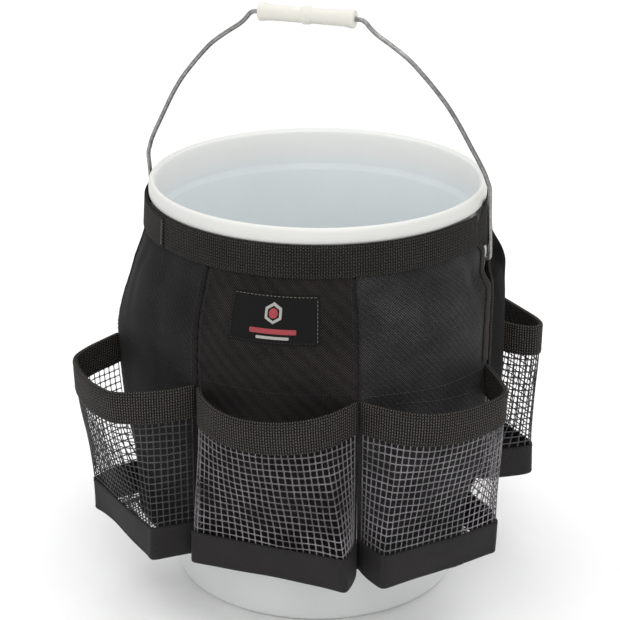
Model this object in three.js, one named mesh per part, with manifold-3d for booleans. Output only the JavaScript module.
// Tool bucket organizer: a pocketed fabric skirt hung around a standard 5 gallon pail.
// Units are millimetres, +Z is up, the origin is the centre of the pail's base on the floor.
// +X is the axis through the two bail ears, and the label faces roughly -Y.
//
// The organizer has two equal halves, each turned half a turn from the other. A half is three
// sewn panels with one mesh pocket each, plus a plain closing panel that is notched for the ear.

import * as THREE from 'three';
import { mergeVertices } from 'three/addons/utils/BufferGeometryUtils.js';
import Module from 'manifold-3d';

const wasm = await Module();
wasm.setup();

// ---------------------------------------------------------------- driving dimensions
const PAIL_HEIGHT = 378;          // top of the rim
const PAIL_RIM_R = 150;           // outside of the rim lip
const PAIL_BASE_R = 130.9;        // outside of the wall just above the foot
const PAIL_WALL_TOP_R = 146.3;    // outside of the wall under the lip
const PAIL_SEGMENTS = 48;

const EAR_Z = 317;                // bail pivot height
const EAR_FACE_X = 152.8;           // outer face of each ear boss
const EAR_R = 16.5;
const EAR_HOLE_R = 2.35;

const WIRE_R = 1.95;
const WIRE_LEG_X = 159.2;         // vertical leg outside the ear
const BAIL_TILT = 8;              // degrees about +X at rest, the grip leaning towards -Y
const BAIL_HEIGHT = 212;          // grip axis above the pivot
const GRIP_LENGTH = 86;
const GRIP_R = 7.0;
const GRIP_FLARE_R = 8.0;
const GRIP_BORE_R = 2.45;

const SEAM0 = -10.3;              // first sewn seam of the front half, at the right ear
const PANEL_ARC = 48.8;           // arc of one pocket panel
const CLOSING_END = 23.3;         // far seam of the closing panel at the right ear
const NOTCH_TOP_ANGLE = 7.2;      // closing panel's edge above the ear notch
// The front edge beside an ear, as [height, degrees]. It is the sewn seam below the ear and leans
// over the ear above it. The closing panel follows it up to 301 and is cut away above that.
const EAR_EDGE = [
  [361, -6.9], [345, -6.0], [336, -3.6], [327, -2.6], [311, -2.8], [301, -4.7],
  [285, -7.8], [268, -9.8], [240, SEAM0], [72, SEAM0],
];
const NOTCH_EDGE = [[361, NOTCH_TOP_ANGLE], [336, NOTCH_TOP_ANGLE], [327, 6.3], [319, 5.0], [311, 2.8]];

const FABRIC = 1.2;               // sewn fabric with its lining and seam allowance
const SKIRT_TOP_Z = 361;
const SKIRT_BOTTOM_Z = 72;
// outside radius of the hanging skirt against height
const SKIRT_PROFILE = [
  [361, 150.9], [336, 152.4], [327, 155.2], [319, 157.8], [311, 160.8], [301, 164.2],
  [285, 167.7], [268, 169.6], [240, 170.2], [150, 170.0], [72, 169.6],
];
const PANEL_BULGE = 4;            // how far a panel's middle stands out above the pockets

const BAND_LOW_Z = 336;
const BAND_HIGH_Z = 363;
const BAND_THICK = 1.2;
const STRAP_OVERLAP = 50;         // how far a bridging strap runs on over the next half's band, degrees

const POCKET_TOP_Z = 233;         // pocket edge at its two seams
const POCKET_DIP = 6;             // how much lower the edge hangs at mid pocket
const POCKET_BOTTOM_Z = 72.5;
const BINDING_H = 29;
const BASE_BAND_H = 31;
const MESH_THICK = 1.6;
const TAPE_THICK = 1.2;
// Plan of each pocket's wall at its top edge and at its base. x runs along the panel's chord towards
// decreasing angle, y is the distance from the pail's axis. Both ends are sewn to the skirt at the seams.
const POCKETS = {
  front_right: {
    index: 0,
    top: [[-68.8, 157.2], [-62, 180], [-52, 202], [-42, 208], [-15, 211], [7, 210.5], [33, 204], [50, 190], [60, 176], [67, 163], [68.8, 157.2]],
    base: [[-68.8, 157.2], [-60, 180], [-48, 198], [-40, 200.5], [-10, 200], [23, 197], [55, 195], [69, 193], [73, 186], [72, 170], [68.8, 157.2]],
  },
  front_center: {
    index: 1,
    top: [[-68.8, 157.2], [-62, 168], [-52, 180], [-36, 192], [-15, 199.5], [8, 201.5], [28, 198], [44, 190], [57, 178], [65, 167], [68.8, 157.2]],
    base: [[-68.8, 157.2], [-71, 172], [-68, 190], [-61, 195.5], [-45, 192], [-15, 186], [15, 181], [45, 177], [63, 174.5], [70, 169], [68.8, 157.2]],
  },
  front_left: {
    index: 2,
    top: [[-68.8, 157.2], [-66, 175], [-56, 196], [-37, 219], [-20, 224], [-5, 226], [36, 223], [50, 217], [60, 202], [66, 182], [68.8, 157.2]],
    base: [[-68.8, 157.2], [-66, 176], [-64, 191], [-57, 196.5], [-25, 197.5], [15, 199.5], [42, 201.5], [52, 199], [60, 186], [67, 169], [68.8, 157.2]],
  },
  back_left: {
    index: 3,
    top: [[-68.8, 157.2], [-64, 176], [-54, 196], [-38, 207], [-12, 212], [14, 212], [38, 206], [54, 194], [64, 175], [68.8, 157.2]],
    base: [[-68.8, 157.2], [-68, 178], [-62, 194], [-50, 198.5], [-15, 198], [20, 198], [50, 198.5], [62, 194], [68, 178], [68.8, 157.2]],
  },
  back_center: {
    index: 4,
    top: [[-68.8, 157.2], [-63, 172], [-52, 189], [-34, 201], [-10, 206], [12, 206], [35, 201], [52, 189], [63, 172], [68.8, 157.2]],
    base: [[-68.8, 157.2], [-69, 176], [-64, 190], [-52, 195.5], [-15, 195], [20, 195], [52, 195.5], [64, 190], [69, 176], [68.8, 157.2]],
  },
  back_right: {
    index: 5,
    top: [[-68.8, 157.2], [-64, 174], [-52, 190], [-30, 198.5], [0, 201], [36, 200.5], [68, 197], [84, 190], [89, 179], [82, 166], [68.8, 157.2]],
    base: [[-68.8, 157.2], [-68, 178], [-62, 191], [-50, 194.5], [-15, 194], [20, 194], [55, 194], [70, 191], [76, 181], [75, 168], [68.8, 157.2]],
  },
};

const LABEL_HALF_ARC = 13.2;
const LABEL_LOW_Z = 284;
const LABEL_HIGH_Z = 323;

const GAP = 0.3;                  // clearance between neighbouring pieces

// ---------------------------------------------------------------- helpers
const rad = (d) => (d * Math.PI) / 180;
const lerp = (a, b, t) => a + (b - a) * t;
const smooth = (t) => { const c = Math.min(1, Math.max(0, t)); return c * c * (3 - 2 * c); };

function mat(color, roughness, metalness = 0) {
  return new THREE.MeshStandardMaterial({ color, roughness, metalness });
}

// keep only position, merge shared vertices
function weld(geometry, tolerance = 1e-3) {
  const g = geometry.clone();
  g.deleteAttribute('normal');
  g.deleteAttribute('uv');
  return mergeVertices(g, tolerance);
}

function signedVolume(g) {
  const p = g.attributes.position;
  const idx = g.index.array;
  const a = new THREE.Vector3(), b = new THREE.Vector3(), c = new THREE.Vector3();
  let v = 0;
  for (let i = 0; i < idx.length; i += 3) {
    a.fromBufferAttribute(p, idx[i]);
    b.fromBufferAttribute(p, idx[i + 1]);
    c.fromBufferAttribute(p, idx[i + 2]);
    v += a.dot(b.clone().cross(c)) / 6;
  }
  return v;
}

function outward(g) {
  if (signedVolume(g) < 0) {
    const idx = g.index.array;
    for (let i = 0; i < idx.length; i += 3) {
      const t = idx[i + 1];
      idx[i + 1] = idx[i + 2];
      idx[i + 2] = t;
    }
  }
  return g;
}

function solid(geometry) {
  const g = outward(weld(geometry));
  const mesh = new wasm.Mesh({
    numProp: 3,
    vertProperties: new Float32Array(g.attributes.position.array),
    triVerts: new Uint32Array(g.index.array),
  });
  return new wasm.Manifold(mesh);
}

function toGeometry(manifold) {
  const m = manifold.getMesh();
  const n = m.vertProperties.length / m.numProp;
  const pos = new Float32Array(n * 3);
  for (let i = 0; i < n; i++) {
    pos[3 * i] = m.vertProperties[m.numProp * i];
    pos[3 * i + 1] = m.vertProperties[m.numProp * i + 1];
    pos[3 * i + 2] = m.vertProperties[m.numProp * i + 2];
  }
  const g = new THREE.BufferGeometry();
  g.setAttribute('position', new THREE.BufferAttribute(pos, 3));
  g.setIndex(new THREE.BufferAttribute(new Uint32Array(m.triVerts), 1));
  return g;
}

// A closed sheet: a unit box divided nu x nv, its points moved by place(u, v, w) with u, v, w in 0..1.
// w runs from the inner face to the outer face.
function sheet(nu, nv, place, us = null, vs = null) {
  const g = new THREE.BoxGeometry(1, 1, 1, nu, nv, 1);
  const p = g.attributes.position;
  for (let i = 0; i < p.count; i++) {
    let u = p.getX(i) + 0.5;
    let v = p.getY(i) + 0.5;
    const w = p.getZ(i) + 0.5;
    if (us) u = us[Math.round(u * nu)];
    if (vs) v = vs[Math.round(v * nv)];
    const q = place(u, v, w);
    p.setXYZ(i, q[0], q[1], q[2]);
  }
  return outward(weld(g));
}

const root = new THREE.Group();
function add(name, geometry, material, parent = root) {
  geometry.computeVertexNormals();
  const mesh = new THREE.Mesh(geometry, material);
  mesh.name = name;
  parent.add(mesh);
  return mesh;
}

// points of a LatheGeometry profile, given as [radius, height], turned so that the axis is +Z
function lathe(profile, segments) {
  const pts = profile.map(([r, z]) => new THREE.Vector2(r, z));
  const g = new THREE.LatheGeometry(pts, segments);
  g.rotateX(Math.PI / 2);
  return g;
}

// ---------------------------------------------------------------- pail
const pailProfile = [
  [0, 3.0], [116.5, 3.0], [118.5, 0], [126.6, 0], [129.6, 1.6], [PAIL_BASE_R, 5],
  [142.6, 297], [149.0, 299], [149.0, 302], [143.6, 304],
  [144.6, 322], [149.4, 324], [149.4, 327], [145.2, 329],
  [145.8, 344], [149.6, 346], [149.6, 349], [146.0, 351],
  [PAIL_WALL_TOP_R, 362.2], [149.0, 363.5], [PAIL_RIM_R, 365.5], [PAIL_RIM_R, 374.4],
  [149.1, 377.1], [147.0, PAIL_HEIGHT], [144.9, 377.1], [143.7, 373.6],
  [143.3, 344], [141.2, 338], [128.6, 10.5], [125.2, 5.6], [0, 5.6], [0, 3.0],
];

function boss(sign) {
  // ear boss with its outer edge eased, axis along X
  const g = lathe([
    [0, 142.5], [EAR_R + 1.5, 142.5], [EAR_R, EAR_FACE_X - 2.8], [EAR_R - 1.6, EAR_FACE_X - 0.5],
    [EAR_R - 3.2, EAR_FACE_X], [0, EAR_FACE_X], [0, 142.5],
  ], 24);
  g.rotateY((sign * Math.PI) / 2);
  g.translate(0, 0, EAR_Z);
  return g;
}

function earHole(sign) {
  const g = lathe([[0, 147.2], [EAR_HOLE_R, 147.2], [EAR_HOLE_R, 160], [0, 160], [0, 147.2]], 16);
  g.rotateY((sign * Math.PI) / 2);
  g.translate(0, 0, EAR_Z);
  return g;
}

// space inside the wall, so that a boss never reaches into the pail
function pailInside() {
  return lathe([[0, 250], [137.75, 250], [141.2, 338], [141.4, 345], [0, 345], [0, 250]], PAIL_SEGMENTS);
}

{
  let pail = solid(lathe(pailProfile, PAIL_SEGMENTS));
  const inside = solid(pailInside());
  for (const s of [1, -1]) {
    pail = pail.add(solid(boss(s)).subtract(inside));
  }
  for (const s of [1, -1]) pail = pail.subtract(solid(earHole(s)));
  add('pail', toGeometry(pail), mat(0xe4e8e8, 0.45));
}

// ---------------------------------------------------------------- bail: wire and grip
// half of the bail above the pivot, as [x, height above pivot], from the leg up to the grip
const BAIL_HALF = [
  [WIRE_LEG_X, 4.5], [WIRE_LEG_X, 30], [WIRE_LEG_X, 55], [WIRE_LEG_X - 0.1, 68], [157.2, 74.5],
  [155.0, 81], [150.0, 91.5], [142.0, 106.5], [132.6, 124.2], [122.0, 141.5], [111.0, 155.8],
  [100.5, 168], [90.0, 179.0], [80.5, 186.6], [71.0, 193.3], [61.5, 199.8],
  [56.0, 205.0], [52.0, 209.6], [48.6, 211.7], [44.6, BAIL_HEIGHT],
];

function wirePath() {
  const half = BAIL_HALF.map(([x, h]) => new THREE.Vector3(x, 0, h));
  const hook = [
    new THREE.Vector3(148.6, 0, 0), new THREE.Vector3(152.6, 0, 0), new THREE.Vector3(155.0, 0, 0),
    new THREE.Vector3(158.0, 0, 1.15),
  ];
  const right = [...hook, ...half];
  const left = [...right].reverse().map((p) => new THREE.Vector3(-p.x, 0, p.z));
  return [...right, new THREE.Vector3(22, 0, BAIL_HEIGHT), new THREE.Vector3(-22, 0, BAIL_HEIGHT), ...left];
}

class PolyPath extends THREE.Curve {
  // points joined by straight runs, sampled exactly at the given points
  constructor(points) {
    super();
    this.pts = points;
  }

  getPoint(t, target = new THREE.Vector3()) {
    const n = this.pts.length - 1;
    const s = Math.min(n, Math.max(0, t * n));
    const i = Math.min(n - 1, Math.floor(s));
    return target.copy(this.pts[i]).lerp(this.pts[i + 1], s - i);
  }

  getPointAt(t, target) {
    return this.getPoint(t, target);
  }

  getTangent(t, target = new THREE.Vector3()) {
    const n = this.pts.length - 1;
    const i = Math.round(t * n);
    const a = this.pts[Math.max(0, i - 1)];
    const b = this.pts[Math.min(n, i + 1)];
    return target.copy(b).sub(a).normalize();
  }

  getTangentAt(t, target) {
    return this.getTangent(t, target);
  }

  // the bail lies in one plane, so its section never twists
  computeFrenetFrames(segments) {
    const tangents = [], normals = [], binormals = [];
    for (let i = 0; i <= segments; i++) {
      const t = this.getTangent(i / segments);
      const b = new THREE.Vector3(0, 1, 0);
      tangents.push(t);
      binormals.push(b);
      normals.push(b.clone().cross(t).normalize());
    }
    return { tangents, normals, binormals };
  }
}

const bail = new THREE.Group();
bail.position.set(0, 0, EAR_Z);
bail.rotation.x = rad(BAIL_TILT);
root.add(bail);

{
  const pts = wirePath();
  const section = new THREE.Shape();
  for (let i = 0; i < 8; i++) {
    const a = ((i + 0.5) / 8) * Math.PI * 2;
    if (i === 0) section.moveTo(WIRE_R * Math.cos(a), WIRE_R * Math.sin(a));
    else section.lineTo(WIRE_R * Math.cos(a), WIRE_R * Math.sin(a));
  }
  section.closePath();
  const g = new THREE.ExtrudeGeometry(section, {
    steps: pts.length - 1, bevelEnabled: false, extrudePath: new PolyPath(pts), curveSegments: 1,
  });
  add('bail_wire', outward(weld(g)), mat(0x8d9092, 0.35, 0.9), bail);

  const half = GRIP_LENGTH / 2;
  const grip = lathe([
    [GRIP_BORE_R, -half], [GRIP_FLARE_R - 0.6, -half], [GRIP_FLARE_R, -half + 1], [GRIP_FLARE_R, -half + 4],
    [GRIP_R, -half + 8], [GRIP_R - 0.3, -4.5], [GRIP_FLARE_R - 0.2, -2.5], [GRIP_FLARE_R - 0.2, 2.5], [GRIP_R - 0.3, 4.5],
    [GRIP_R, half - 8], [GRIP_FLARE_R, half - 4], [GRIP_FLARE_R, half - 1], [GRIP_FLARE_R - 0.6, half],
    [GRIP_BORE_R, half], [GRIP_BORE_R, -half],
  ], 20);
  grip.rotateY(Math.PI / 2);
  grip.translate(0, 0, BAIL_HEIGHT);
  add('bail_grip', outward(weld(grip)), mat(0xf0efe6, 0.5), bail);
}

// ---------------------------------------------------------------- skirt
const closingMaterial = () => mat(0x2a282b, 0.92);
const skirtMaterial = () => mat(0x2c2a2d, 0.92);
const tapeMaterial = () => mat(0x3a3633, 0.9);
const bandMaterial = () => mat(0x35322f, 0.9);
const meshMaterial = () => mat(0x4a484a, 0.6);

function profileRadius(z) {
  const P = SKIRT_PROFILE;
  if (z >= P[0][0]) return P[0][1];
  for (let i = 1; i < P.length; i++) {
    if (z >= P[i][0]) {
      return lerp(P[i][1], P[i - 1][1], (z - P[i][0]) / (P[i - 1][0] - P[i][0]));
    }
  }
  return P[P.length - 1][1];
}

// Beside each ear the boss and the swinging bail leg hold the cloth at one radius.
const EAR_CLOTH_R = 155.7;
const EAR_CLOTH_ARC = 20;
function panelBulge(deg, z) {
  const half = (((deg - SEAM0) % 180) - 180) % 180; // 0 to -180 through one half, from its first seam
  const along = -half / PANEL_ARC;
  if (along >= 3) return 0;
  return PANEL_BULGE * Math.sin(Math.PI * (along % 1)) ** 2 * smooth((z - 236) / 30) * smooth((335 - z) / 30);
}
function skirtRadius(deg, z) {
  let d = Math.abs((((deg % 180) + 270) % 180) - 90); // distance from the nearest ear, degrees
  const near = smooth((EAR_CLOTH_ARC - d) / 8);
  const level = smooth((z - 299) / 13) * smooth((336 - z) / 8);
  return lerp(profileRadius(z) + panelBulge(deg, z), EAR_CLOTH_R, near * level);
}

function polar(r, deg, z) {
  return [r * Math.cos(rad(deg)), r * Math.sin(rad(deg)), z];
}

const skirtZs = SKIRT_PROFILE.map((p) => p[0]).reverse();
const skirtVs = skirtZs.map((z) => (z - SKIRT_BOTTOM_Z) / (SKIRT_TOP_Z - SKIRT_BOTTOM_Z));

const PANEL_US = [0, 0.045, 0.13, 0.25, 0.375, 0.5, 0.625, 0.75, 0.87, 0.955, 1];
function skirtPanel(a0, a1, nu, us = null) {
  return sheet(nu, skirtVs.length - 1, (u, v, w) => {
    const z = lerp(SKIRT_BOTTOM_Z, SKIRT_TOP_Z, v);
    const start = typeof a0 === 'function' ? a0(z) : a0;
    const end = typeof a1 === 'function' ? a1(z) : a1;
    const deg = lerp(start, end, u);
    return polar(skirtRadius(deg, z) - FABRIC * (1 - w), deg, z);
  }, us, skirtVs);
}

const EDGE = 0.07; // half the gap between neighbouring panels, degrees

function tableAt(table, z) {
  if (z >= table[0][0]) return table[0][1];
  for (let i = 1; i < table.length; i++) {
    if (z >= table[i][0]) {
      return lerp(table[i][1], table[i - 1][1], (z - table[i][0]) / (table[i - 1][0] - table[i][0]));
    }
  }
  return table[table.length - 1][1];
}

// edge of a closing panel: along the seam, then cut back above the ear notch
function notchEdge(offset) {
  return (z) => {
    if (z <= 301) return offset + tableAt(EAR_EDGE, z) + EDGE;
    const from = tableAt(EAR_EDGE, 301) + EDGE;
    return offset + (z < 311 ? lerp(from, NOTCH_EDGE[NOTCH_EDGE.length - 1][1], (z - 301) / 10) : tableAt(NOTCH_EDGE, z));
  };
}

for (const [name, p] of Object.entries(POCKETS)) {
  const offset = p.index < 3 ? 0 : 180;
  const seam = offset + SEAM0 - PANEL_ARC * (p.index % 3);
  const a0 = seam - PANEL_ARC + EDGE;
  const a1 = p.index % 3 === 0 ? (z) => offset + tableAt(EAR_EDGE, z) - EDGE : seam - EDGE;
  add(`skirt_panel_${name}`, skirtPanel(a0, a1, PANEL_US.length - 1, PANEL_US), skirtMaterial());
}
add('closing_panel_back_right', skirtPanel(notchEdge(0), CLOSING_END - EDGE, 5), closingMaterial());
add('closing_panel_front_left', skirtPanel(notchEdge(180), 180 + CLOSING_END - EDGE, 5), closingMaterial());

// narrow folded bindings along the four edges beside the ears
function edgeBinding(from, to, z0, z1) {
  const zs = [z0, ...skirtZs.filter((z) => z > z0 + 1 && z < z1 - 1), z1];
  const vs = zs.map((z) => (z - z0) / (z1 - z0));
  return sheet(1, zs.length - 1, (u, v, w) => {
    const z = lerp(z0, z1, v);
    const deg = lerp(from(z), to(z), u);
    return polar(skirtRadius(deg, z) + GAP + 0.1 + 1.0 * w, deg, z);
  }, null, vs);
}
for (const [name, offset] of [['front_right', 0], ['back_left', 180]]) {
  add(`edge_binding_${name}`, edgeBinding(
    (z) => offset + tableAt(EAR_EDGE, z) - 2.0, (z) => offset + tableAt(EAR_EDGE, z) - 0.2, 240, 335.6), tapeMaterial());
}
for (const [name, offset] of [['back_right', 0], ['front_left', 180]]) {
  const e = notchEdge(offset);
  add(`edge_binding_${name}`, edgeBinding((z) => e(z) + 0.1, (z) => e(z) + 2.0, 74, 335.6), tapeMaterial());
}

// ---------------------------------------------------------------- rim bands and bridging straps
function bandRadius(z) {
  return profileRadius(z) + GAP;
}
function rimBand(a0, a1, nu) {
  return sheet(nu, 1, (u, v, w) => {
    const z = lerp(BAND_LOW_Z, BAND_HIGH_Z, v);
    const r = lerp(bandRadius(BAND_LOW_Z), bandRadius(BAND_HIGH_Z), v) + BAND_THICK * w;
    return polar(r, lerp(a0, a1, u), z);
  });
}
// the half bands end at the notch edges
const BAND_A0 = NOTCH_TOP_ANGLE + 0.1 - 180;
const BAND_A1 = EAR_EDGE[0][1] - EDGE;
add('rim_band_front', rimBand(BAND_A0, BAND_A1, 24), tapeMaterial());
add('rim_band_back', rimBand(BAND_A0 + 180, BAND_A1 + 180, 24), tapeMaterial());

// each strap starts at the end of one band, crosses over the ear and runs on outside the next band
const STRAP_THICK = 1.2;
function bridgeStrap(offset) {
  const a0 = BAND_A1 + 0.3;
  const a1 = STRAP_OVERLAP;
  const angles = [a0, -3, 1, 4.6, 7.0, 9.5, 14, 20, 26, 32, 38, 44, a1];
  const radii = [0, 0, 0, 0.5, 1.6, BAND_THICK + 0.6, BAND_THICK + 0.45, BAND_THICK + 0.45, BAND_THICK + 0.45,
    BAND_THICK + 0.45, BAND_THICK + 0.45, BAND_THICK + 0.45, BAND_THICK + 0.45];
  return sheet(angles.length - 1, 1, (u, v, w) => {
    const i = Math.round(u * (angles.length - 1));
    const z = lerp(BAND_LOW_Z + 0.5, BAND_HIGH_Z - 0.5, v);
    const r = lerp(bandRadius(BAND_LOW_Z), bandRadius(BAND_HIGH_Z), v) + radii[i] + STRAP_THICK * w;
    return polar(r, offset + angles[i], z);
  });
}
add('bridge_strap_right', bridgeStrap(0), tapeMaterial());
add('bridge_strap_left', bridgeStrap(180), tapeMaterial());

// ---------------------------------------------------------------- label
{
  const mid = SEAM0 - PANEL_ARC * 1.5;
  const g = sheet(6, 4, (u, v, w) => {
    const z = lerp(LABEL_LOW_Z, LABEL_HIGH_Z, v);
    const deg = lerp(mid - LABEL_HALF_ARC, mid + LABEL_HALF_ARC, u);
    return polar(skirtRadius(deg, z) + GAP + 0.1 + 0.8 * w, deg, z);
  });
  add('label_patch', g, mat(0x1d1c1e, 0.7));
}

// ---------------------------------------------------------------- pockets
// Wall of a pocket in its own frame: t = 0 at the base, 1 at the top edge, s = 0..1 along the wall.
for (const p of Object.values(POCKETS)) {
  const curve = (list) => new THREE.CatmullRomCurve3(
    list.map(([x, y]) => new THREE.Vector3(x, y, 0)), false, 'centripetal');
  p.topCurve = curve(p.top);
  p.baseCurve = curve(p.base);
}
function pocketPlan(p, s, t, inset) {
  const at = (q) => p.baseCurve.getPointAt(q).lerp(p.topCurve.getPointAt(q), smooth(t));
  const e = 2e-3;
  const q = at(s);
  const d = at(Math.min(1, s + e)).sub(at(Math.max(0, s - e))).normalize();
  // inset is measured towards the inside of the pocket
  return [q.x + d.y * inset, q.y - d.x * inset];
}

const PLAN_S = [0, 0.05, 0.1, 0.145, 0.185, 0.22, 0.255, 0.29, 0.34, 0.4, 0.46, 0.54, 0.6, 0.66, 0.71,
  0.745, 0.78, 0.815, 0.855, 0.9, 0.95, 1];

function pocketPlace(p, mid, s, t, inset, z) {
  const [x, y] = pocketPlan(p, s, t, inset);
  const r = Math.hypot(x, y);
  // local +y is the panel's mid direction, local x runs towards decreasing angle
  const deg = mid - (Math.atan2(x, y) * 180) / Math.PI;
  return polar(r, deg, z);
}

const POCKET_SPAN = POCKET_TOP_Z - POCKET_BOTTOM_Z;
function dip(s) {
  return POCKET_DIP * Math.sin(Math.PI * s) ** 1.2;
}
const PLAN_VS = [0, BASE_BAND_H / POCKET_SPAN, 0.5, 1 - BINDING_H / POCKET_SPAN, 1];

for (const [name, p] of Object.entries(POCKETS)) {
  const offset = p.index < 3 ? 0 : 180;
  const mid = offset + SEAM0 - PANEL_ARC * ((p.index % 3) + 0.5);
  const nu = PLAN_S.length - 1;

  add(`pocket_mesh_${name}`, sheet(nu, PLAN_VS.length - 1, (u, v, w) => {
    const z = lerp(POCKET_BOTTOM_Z, POCKET_TOP_Z - 1.0, v) - dip(u) * v;
    return pocketPlace(p, mid, u, v, MESH_THICK * (1 - w), z);
  }, PLAN_S, PLAN_VS), meshMaterial());

  const skin = (v0, v1, extra) => sheet(nu, 1, (u, v, w) => {
    const t = lerp(v0, v1, v);
    const z = lerp(POCKET_BOTTOM_Z, POCKET_TOP_Z - 1.0, t) - dip(u) * t + extra * v;
    return pocketPlace(p, mid, u, t, -GAP - TAPE_THICK * w, z);
  }, PLAN_S);
  add(`pocket_binding_${name}`, skin(PLAN_VS[3], 1, 0), tapeMaterial());
  add(`pocket_base_band_${name}`, skin(0, PLAN_VS[1], 0), bandMaterial());

  // floor panel between the wall and the skirt
  add(`pocket_floor_${name}`, sheet(nu, 1, (u, v, w) => {
    const z = 75.5 + 1.2 * w;
    const t = (z - POCKET_BOTTOM_Z) / POCKET_SPAN;
    const outer = pocketPlace(p, mid, u, t, MESH_THICK + 0.5, z);
    const angle = (Math.atan2(outer[1], outer[0]) * 180) / Math.PI;
    const inner = polar(SKIRT_PROFILE[SKIRT_PROFILE.length - 1][1] + 1.0, angle, z);
    return [lerp(inner[0], outer[0], v), lerp(inner[1], outer[1], v), z];
  }, PLAN_S), meshMaterial());
}

export default root;
